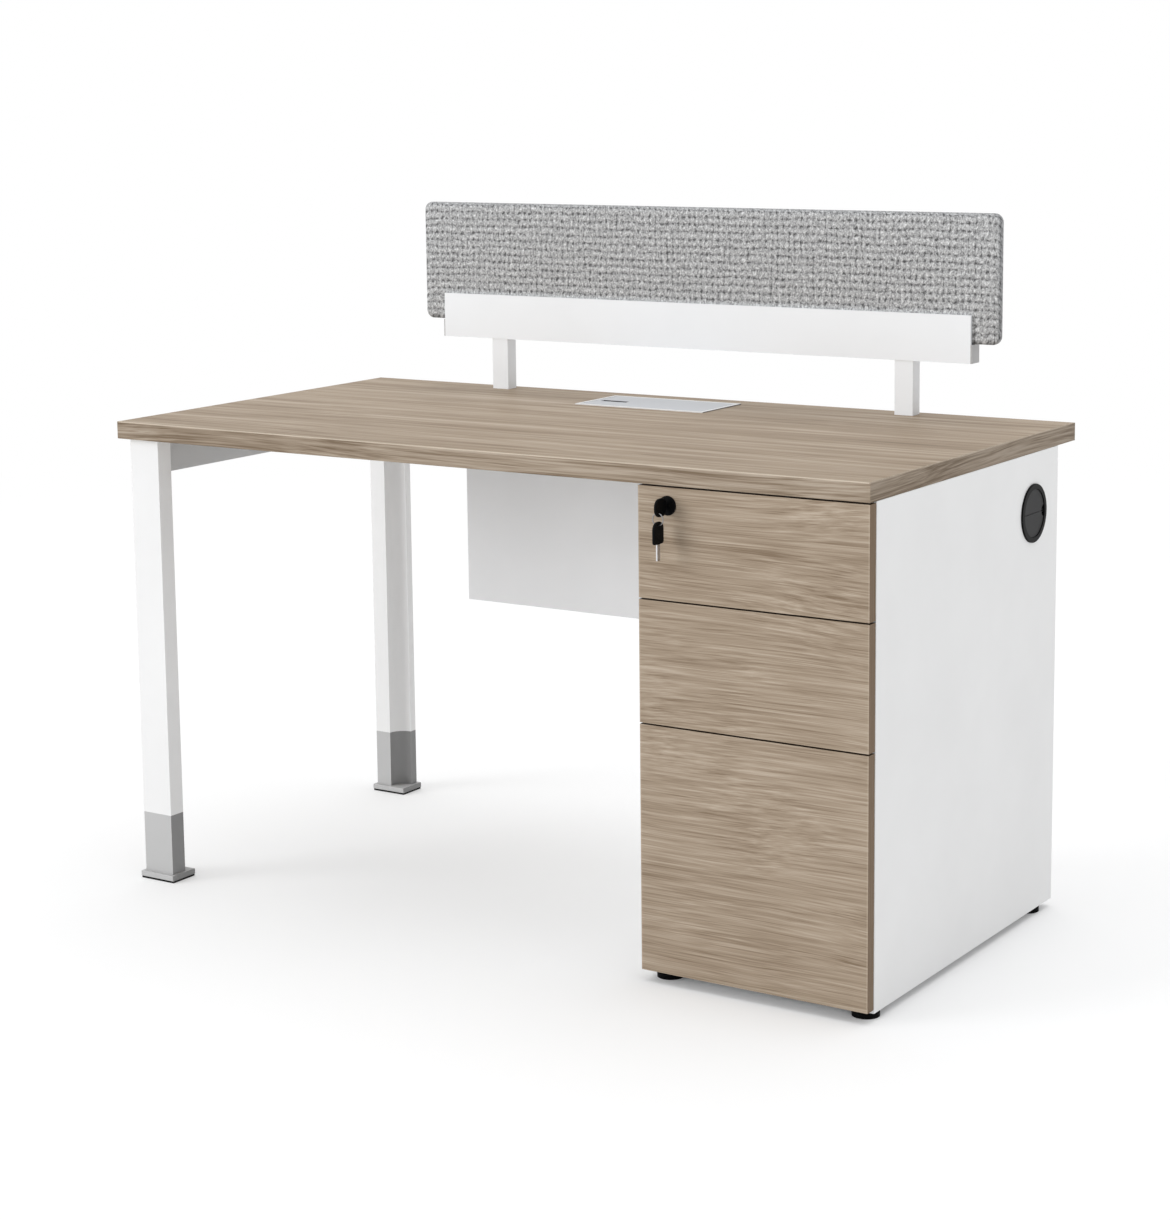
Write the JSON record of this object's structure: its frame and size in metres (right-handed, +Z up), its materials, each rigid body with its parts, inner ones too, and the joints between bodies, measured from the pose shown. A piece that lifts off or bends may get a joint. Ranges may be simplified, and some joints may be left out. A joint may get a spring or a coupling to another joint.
{
  "type": "single pedestal office desk",
  "caption": "Straight office desk with a wood-effect top on white legs and a lockable drawer pedestal, with a fabric screen, a flip-top cable box and a cable port.",
  "frame": {"origin": "on the floor under the middle of the desk's box", "axes": "+X along the desk to the pedestal's side, +Y from the drawer fronts to the divider, +Z up"},
  "size_m": [1.353, 0.7394, 1.083],
  "materials": {
    "wood_laminate": "satin wood-effect laminate on board",
    "wood_edge": "satin wood-effect edge band",
    "white_metal": "white powder coat",
    "white_board": "white melamine on board",
    "grey_metal": "grey satin paint",
    "black_rubber": "matte",
    "black_plastic": "satin moulded",
    "white_plastic": "satin moulded",
    "steel": "zinc plated",
    "aluminium": "satin anodised",
    "grey_fabric": "woven grey melange"
  },
  "bodies": {
    "desk": {"desktop": "wood_laminate", "edge_bands": "wood_edge", "front_leg": "white_metal", "rear_leg": "white_metal", "front_foot_sleeve": "grey_metal", "rear_foot_sleeve": "grey_metal", "front_foot_plate": "grey_metal", "rear_foot_plate": "grey_metal", "foot_pads": "black_rubber", "side_beam": "white_metal", "front_cross_rail": "white_metal", "rear_cross_rail": "white_metal", "assembly_bolts": "steel", "modesty_panel": "white_board", "left_side_panel": "white_board", "right_side_panel": "white_board", "back_panel": "white_board", "bottom_panel": "white_board", "front_top_rail": "steel", "port_ring": "black_plastic", "cable_box_frame": "aluminium", "cable_box_tray": "white_metal", "left_post": "white_metal", "right_post": "white_metal", "divider_beam": "white_metal", "beam_end_caps": "white_plastic", "screen_panel": "grey_fabric", "upper_case_runners": "steel", "middle_case_runners": "steel", "lower_case_runners": "steel"},
    "upper_drawer": {"upper_drawer_front": "wood_laminate", "upper_drawer_sides": "white_board", "upper_drawer_back": "white_board", "upper_drawer_bottom": "white_board", "upper_drawer_runners": "steel", "lock_barrel": "black_plastic"},
    "middle_drawer": {"middle_drawer_front": "wood_laminate", "middle_drawer_sides": "white_board", "middle_drawer_back": "white_board", "middle_drawer_bottom": "white_board", "middle_drawer_runners": "steel"},
    "lower_drawer": {"lower_drawer_front": "wood_laminate", "lower_drawer_sides": "white_board", "lower_drawer_back": "white_board", "lower_drawer_bottom": "white_board", "lower_drawer_runners": "steel"},
    "upper_runner": {"upper_middle_runners": "steel"},
    "middle_runner": {"middle_middle_runners": "steel"},
    "lower_runner": {"lower_middle_runners": "steel"},
    "lock_core": {"lock_plug": "steel", "lock_key": "black_plastic"},
    "ring": {"key_ring": "steel"},
    "hanging_key": {"spare_key": "black_plastic"},
    "lid": {"cable_box_lid": "aluminium"},
    "upper_flap": {"upper_port_flap": "black_plastic"},
    "lower_flap": {"lower_port_flap": "black_plastic"},
    "front_left_foot": {"front_left_glide": "black_plastic"},
    "front_right_foot": {"front_right_glide": "black_plastic"},
    "rear_left_foot": {"rear_left_glide": "black_plastic"},
    "rear_right_foot": {"rear_right_glide": "black_plastic"}
  },
  "joints": [
    {"name": "upper_drawer_slide", "type": "slide", "parent": "desk", "child": "upper_drawer", "axis": [0, -1, 0], "range_m": [0, 0.42]},
    {"name": "upper_runner_slide", "type": "slide", "parent": "desk", "child": "upper_runner", "axis": [0, -1, 0], "range_m": [0, 0.21]},
    {"name": "middle_drawer_slide", "type": "slide", "parent": "desk", "child": "middle_drawer", "axis": [0, -1, 0], "range_m": [0, 0.42]},
    {"name": "middle_runner_slide", "type": "slide", "parent": "desk", "child": "middle_runner", "axis": [0, -1, 0], "range_m": [0, 0.21]},
    {"name": "lower_drawer_slide", "type": "slide", "parent": "desk", "child": "lower_drawer", "axis": [0, -1, 0], "range_m": [0, 0.42]},
    {"name": "lower_runner_slide", "type": "slide", "parent": "desk", "child": "lower_runner", "axis": [0, -1, 0], "range_m": [0, 0.21]},
    {"name": "lock_turn", "type": "hinge", "parent": "upper_drawer", "child": "lock_core", "pos_m": [0.358, -0.33025, 0.704], "axis": [0, 1, 0], "range_deg": [0, 90]},
    {"name": "ring_swing", "type": "hinge", "parent": "lock_core", "child": "ring", "pos_m": [0.358, -0.35675, 0.6965], "axis": [1, 0, 0], "range_deg": [-30, 8]},
    {"name": "hanging_key_swing", "type": "hinge", "parent": "ring", "child": "hanging_key", "pos_m": [0.358, -0.35675, 0.6795], "axis": [1, 0, 0], "range_deg": [-35, 8]},
    {"name": "lid_hinge", "type": "hinge", "parent": "desk", "child": "lid", "pos_m": [-0.018, 0.31375, 0.76], "axis": [-1, 0, 0], "range_deg": [0, 90]},
    {"name": "upper_flap_hinge", "type": "hinge", "parent": "desk", "child": "upper_flap", "pos_m": [0.6755, 0.21275, 0.6415], "axis": [0, 1, 0], "range_deg": [0, 80]},
    {"name": "lower_flap_hinge", "type": "hinge", "parent": "desk", "child": "lower_flap", "pos_m": [0.6755, 0.21275, 0.6385], "axis": [0, -1, 0], "range_deg": [0, 80]},
    {"name": "front_left_foot_level", "type": "slide", "parent": "desk", "child": "front_left_foot", "axis": [0, 0, -1], "range_m": [0, 0.01]},
    {"name": "front_right_foot_level", "type": "slide", "parent": "desk", "child": "front_right_foot", "axis": [0, 0, -1], "range_m": [0, 0.01]},
    {"name": "rear_left_foot_level", "type": "slide", "parent": "desk", "child": "rear_left_foot", "axis": [0, 0, -1], "range_m": [0, 0.01]},
    {"name": "rear_right_foot_level", "type": "slide", "parent": "desk", "child": "rear_right_foot", "axis": [0, 0, -1], "range_m": [0, 0.01]}
  ],
  "couplings": [
    {"joint": "upper_runner_slide", "follows": "upper_drawer_slide", "ratio": 0.5},
    {"joint": "middle_runner_slide", "follows": "middle_drawer_slide", "ratio": 0.5},
    {"joint": "lower_runner_slide", "follows": "lower_drawer_slide", "ratio": 0.5}
  ]
}
